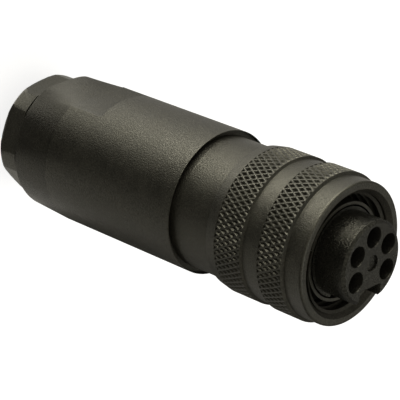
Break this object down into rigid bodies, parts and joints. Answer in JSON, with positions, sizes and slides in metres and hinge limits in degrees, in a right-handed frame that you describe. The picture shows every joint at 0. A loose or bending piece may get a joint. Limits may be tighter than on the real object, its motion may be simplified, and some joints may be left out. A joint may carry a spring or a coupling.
{
  "type": "field attachable cable connector",
  "caption": "Straight round cable connector with a hex clamp nut, tapered sleeve with wrench flats, knurled screw-on coupling ring and keyed female contact insert.",
  "frame": {"origin": "centre of the clamp nut's rear face, on which the connector stands", "axes": "+Z along the connector's axis from the cable end to the mating face, +X through the keyway of the insert"},
  "size_m": [0.02, 0.02, 0.0604],
  "materials": {
    "housing_plastic": "moulded glass-filled polyamide, satin charcoal with fine grain",
    "insert_plastic": "moulded polyester, satin charcoal",
    "contact_brass": "turned brass, gold plated",
    "seal_rubber": "black nitrile rubber",
    "clip_steel": "spring steel"
  },
  "bodies": {
    "housing": {"rear_body": "housing_plastic", "front_body": "housing_plastic", "contact_insert": "insert_plastic", "insert_retainer": "insert_plastic", "contact_1": "contact_brass", "contact_2": "contact_brass", "contact_3": "contact_brass", "contact_4": "contact_brass", "contact_5": "contact_brass", "spacer_half_a": "insert_plastic", "spacer_half_b": "insert_plastic", "clamp_cage": "insert_plastic", "cable_seal": "seal_rubber", "body_seal": "seal_rubber", "retaining_clip": "clip_steel", "face_seal": "seal_rubber"},
    "ring": {"coupling_ring": "housing_plastic"},
    "washer": {"thrust_washer": "insert_plastic"},
    "nut": {"clamp_nut": "housing_plastic"}
  },
  "joints": [
    {"name": "ring_spin", "type": "hinge", "parent": "housing", "child": "ring", "pos_m": [0, 0, 0.049], "axis": [0, 0, 1], "continuous": true},
    {"name": "washer_slide", "type": "slide", "parent": "housing", "child": "washer", "axis": [0, 0, -1], "range_m": [0, 0.003]},
    {"name": "nut_turn", "type": "hinge", "parent": "washer", "child": "nut", "pos_m": [0, 0, 0.005], "axis": [0, 0, -1], "range_deg": [0, 1080]}
  ],
  "couplings": [
    {"joint": "washer_slide", "follows": "nut_turn", "m_per_rad": 0.00015915}
  ]
}
